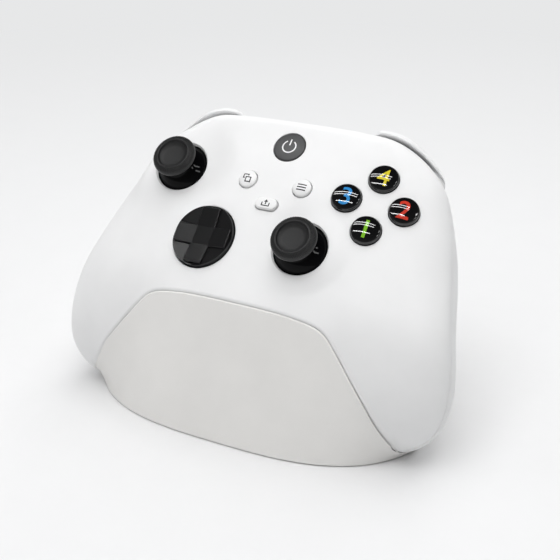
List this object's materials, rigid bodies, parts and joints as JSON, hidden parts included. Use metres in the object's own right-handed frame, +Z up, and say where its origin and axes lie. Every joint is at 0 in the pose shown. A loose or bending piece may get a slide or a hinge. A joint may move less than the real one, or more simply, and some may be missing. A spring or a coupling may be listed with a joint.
{
  "type": "game controller on a charging stand",
  "caption": "White gamepad with two thumb sticks, a dished direction pad and push buttons, resting face-up on a leaning charging stand that follows its outline.",
  "frame": {"origin": "middle of the stand's foot on the surface it stands on", "axes": "+Z up, the controller's face towards -Y leaned back 42 degrees, +X to the player's right along the controller's width"},
  "size_m": [0.1544, 0.0998, 0.1001],
  "materials": {
    "shell_white": "fine satin texture",
    "stand_white": "smooth satin, a little warmer than the shell",
    "gloss_black": "gloss",
    "dark_grip": "matte",
    "home_grey": "satin",
    "black_plastic": "satin",
    "board_green": "solder mask",
    "steel": "plain",
    "gold": "plated"
  },
  "bodies": {
    "stand": {"foot_pad": "dark_grip", "base_plate": "stand_white", "stand_body": "stand_white", "front_cover": "stand_white", "base_screw_1": "steel", "base_screw_2": "steel", "base_screw_3": "steel", "base_screw_4": "steel", "ballast_plate": "steel", "charge_board": "board_green", "contact_block": "black_plastic", "cable_gland": "black_plastic"},
    "controller": {"front_shell": "shell_white", "rear_chassis": "shell_white", "left_grip_cover": "shell_white", "right_grip_cover": "shell_white", "top_bridge": "shell_white", "left_trigger_pin": "steel", "right_trigger_pin": "steel", "left_stick_housing": "steel", "right_stick_housing": "steel", "button_membrane": "dark_grip", "main_board": "board_green", "battery_pack": "black_plastic", "battery_cover": "shell_white", "charge_contact_left": "gold", "charge_contact_right": "gold", "left_rumble_motor": "steel", "right_rumble_motor": "steel", "usb_port": "steel", "headset_jack": "black_plastic"},
    "contact_pin_left": {"contact_pin_left": "gold"},
    "contact_pin_right": {"contact_pin_right": "gold"},
    "left_bumper": {"left_bumper": "shell_white"},
    "left_trigger": {"left_trigger": "shell_white"},
    "right_bumper": {"right_bumper": "shell_white"},
    "right_trigger": {"right_trigger": "shell_white"},
    "left_stick_yoke": {"left_stick_yoke": "black_plastic"},
    "left_stick_lever": {"left_stick_lever": "steel"},
    "left_stick_cap": {"left_stick_cap": "dark_grip", "left_stick_dome": "gloss_black"},
    "right_stick_yoke": {"right_stick_yoke": "black_plastic"},
    "right_stick_lever": {"right_stick_lever": "steel"},
    "right_stick_cap": {"right_stick_cap": "dark_grip", "right_stick_dome": "gloss_black"},
    "dpad_rocker": {"dpad_rocker": "black_plastic"},
    "dpad_cap": {"dpad_cap": "gloss_black"},
    "face_button_top": {"face_button_top": "gloss_black"},
    "face_button_right": {"face_button_right": "gloss_black"},
    "face_button_bottom": {"face_button_bottom": "gloss_black"},
    "face_button_left": {"face_button_left": "gloss_black"},
    "view_button": {"view_button": "shell_white"},
    "menu_button": {"menu_button": "shell_white"},
    "home_button": {"home_button": "home_grey"},
    "share_button": {"share_button": "shell_white"},
    "pair_button": {"pair_button": "shell_white"},
    "left_rumble_weight": {"left_rumble_weight": "steel"},
    "right_rumble_weight": {"right_rumble_weight": "steel"}
  },
  "joints": [
    {"name": "controller_lift", "type": "slide", "parent": "stand", "child": "controller", "axis": [0, 0, 1], "range_m": [0, 0.12]},
    {"name": "contact_pin_left_press", "type": "slide", "parent": "stand", "child": "contact_pin_left", "axis": [0, -0.6691, 0.7431], "range_m": [-0.0009, 0], "stiffness_N_per_m": 150},
    {"name": "contact_pin_right_press", "type": "slide", "parent": "stand", "child": "contact_pin_right", "axis": [0, -0.6691, 0.7431], "range_m": [-0.0009, 0], "stiffness_N_per_m": 150},
    {"name": "left_bumper_press", "type": "hinge", "parent": "controller", "child": "left_bumper", "pos_m": [-0.0264, 0.04036, 0.09409], "axis": [0, -0.6691, 0.7431], "range_deg": [0, 1.5], "stiffness_Nm_per_rad": 1},
    {"name": "left_trigger_pull", "type": "hinge", "parent": "controller", "child": "left_trigger", "pos_m": [-0.03844, 0.04286, 0.08342], "axis": [-0.9135, -0.3023, -0.2722], "range_deg": [0, 14], "stiffness_Nm_per_rad": 0.12, "springref_deg": -8.59},
    {"name": "right_bumper_press", "type": "hinge", "parent": "controller", "child": "right_bumper", "pos_m": [0.0264, 0.04036, 0.09409], "axis": [0, 0.6691, -0.7431], "range_deg": [0, 1.5], "stiffness_Nm_per_rad": 1},
    {"name": "right_trigger_pull", "type": "hinge", "parent": "controller", "child": "right_trigger", "pos_m": [0.03844, 0.04286, 0.08342], "axis": [-0.9135, 0.3023, 0.2722], "range_deg": [0, 14], "stiffness_Nm_per_rad": 0.12, "springref_deg": -8.59},
    {"name": "left_stick_tilt_updown", "type": "hinge", "parent": "controller", "child": "left_stick_yoke", "pos_m": [-0.0413, 0.01937, 0.0754], "axis": [1, 0, 0], "range_deg": [-17, 17], "stiffness_Nm_per_rad": 0.05},
    {"name": "left_stick_tilt_sideways", "type": "hinge", "parent": "left_stick_yoke", "child": "left_stick_lever", "pos_m": [-0.0413, 0.01937, 0.0754], "axis": [0, 0.7431, 0.6691], "range_deg": [-17, 17], "stiffness_Nm_per_rad": 0.05},
    {"name": "left_stick_press", "type": "slide", "parent": "left_stick_lever", "child": "left_stick_cap", "axis": [0, -0.6691, 0.7431], "range_m": [-0.0005, 0], "stiffness_N_per_m": 2000},
    {"name": "right_stick_tilt_updown", "type": "hinge", "parent": "controller", "child": "right_stick_yoke", "pos_m": [0.0177, -0.00089, 0.061], "axis": [1, 0, 0], "range_deg": [-17, 17], "stiffness_Nm_per_rad": 0.05},
    {"name": "right_stick_tilt_sideways", "type": "hinge", "parent": "right_stick_yoke", "child": "right_stick_lever", "pos_m": [0.0177, -0.00089, 0.061], "axis": [0, 0.7431, 0.6691], "range_deg": [-17, 17], "stiffness_Nm_per_rad": 0.05},
    {"name": "right_stick_press", "type": "slide", "parent": "right_stick_lever", "child": "right_stick_cap", "axis": [0, -0.6691, 0.7431], "range_m": [-0.0005, 0], "stiffness_N_per_m": 2000},
    {"name": "dpad_rock_sideways", "type": "hinge", "parent": "controller", "child": "dpad_rocker", "pos_m": [-0.0192, -0.0056, 0.06232], "axis": [-0.0008, 0.7282, 0.6853], "range_deg": [-3, 3], "stiffness_Nm_per_rad": 0.3},
    {"name": "dpad_rock_updown", "type": "hinge", "parent": "dpad_rocker", "child": "dpad_cap", "pos_m": [-0.0192, -0.0056, 0.06232], "axis": [0.9971, -0.0513, 0.0558], "range_deg": [-3, 3], "stiffness_Nm_per_rad": 0.3},
    {"name": "face_button_top_press", "type": "slide", "parent": "controller", "child": "face_button_top", "axis": [0.1461, -0.6298, 0.7629], "range_m": [-0.0013, 0], "stiffness_N_per_m": 400},
    {"name": "face_button_right_press", "type": "slide", "parent": "controller", "child": "face_button_right", "axis": [0.1849, -0.6399, 0.7459], "range_m": [-0.0013, 0], "stiffness_N_per_m": 400},
    {"name": "face_button_bottom_press", "type": "slide", "parent": "controller", "child": "face_button_bottom", "axis": [0.1462, -0.6583, 0.7384], "range_m": [-0.0013, 0], "stiffness_N_per_m": 400},
    {"name": "face_button_left_press", "type": "slide", "parent": "controller", "child": "face_button_left", "axis": [0.1068, -0.6474, 0.7546], "range_m": [-0.0013, 0], "stiffness_N_per_m": 400},
    {"name": "view_button_press", "type": "slide", "parent": "controller", "child": "view_button", "axis": [-0.0421, -0.6505, 0.7584], "range_m": [-0.0008, 0], "stiffness_N_per_m": 400},
    {"name": "menu_button_press", "type": "slide", "parent": "controller", "child": "menu_button", "axis": [0.0421, -0.6505, 0.7584], "range_m": [-0.0008, 0], "stiffness_N_per_m": 400},
    {"name": "home_button_press", "type": "slide", "parent": "controller", "child": "home_button", "axis": [0, -0.6287, 0.7776], "range_m": [-0.0008, 0], "stiffness_N_per_m": 400},
    {"name": "share_button_press", "type": "slide", "parent": "controller", "child": "share_button", "axis": [0, -0.6631, 0.7485], "range_m": [-0.0008, 0], "stiffness_N_per_m": 400},
    {"name": "pair_button_press", "type": "slide", "parent": "controller", "child": "pair_button", "axis": [0, 0.7431, 0.6691], "range_m": [-0.0006, 0], "stiffness_N_per_m": 400},
    {"name": "left_rumble_weight_spin", "type": "hinge", "parent": "controller", "child": "left_rumble_weight", "pos_m": [-0.057, -0.01151, 0.02989], "axis": [1, 0, 0], "continuous": true},
    {"name": "right_rumble_weight_spin", "type": "hinge", "parent": "controller", "child": "right_rumble_weight", "pos_m": [0.057, -0.01151, 0.02989], "axis": [1, 0, 0], "continuous": true}
  ]
}
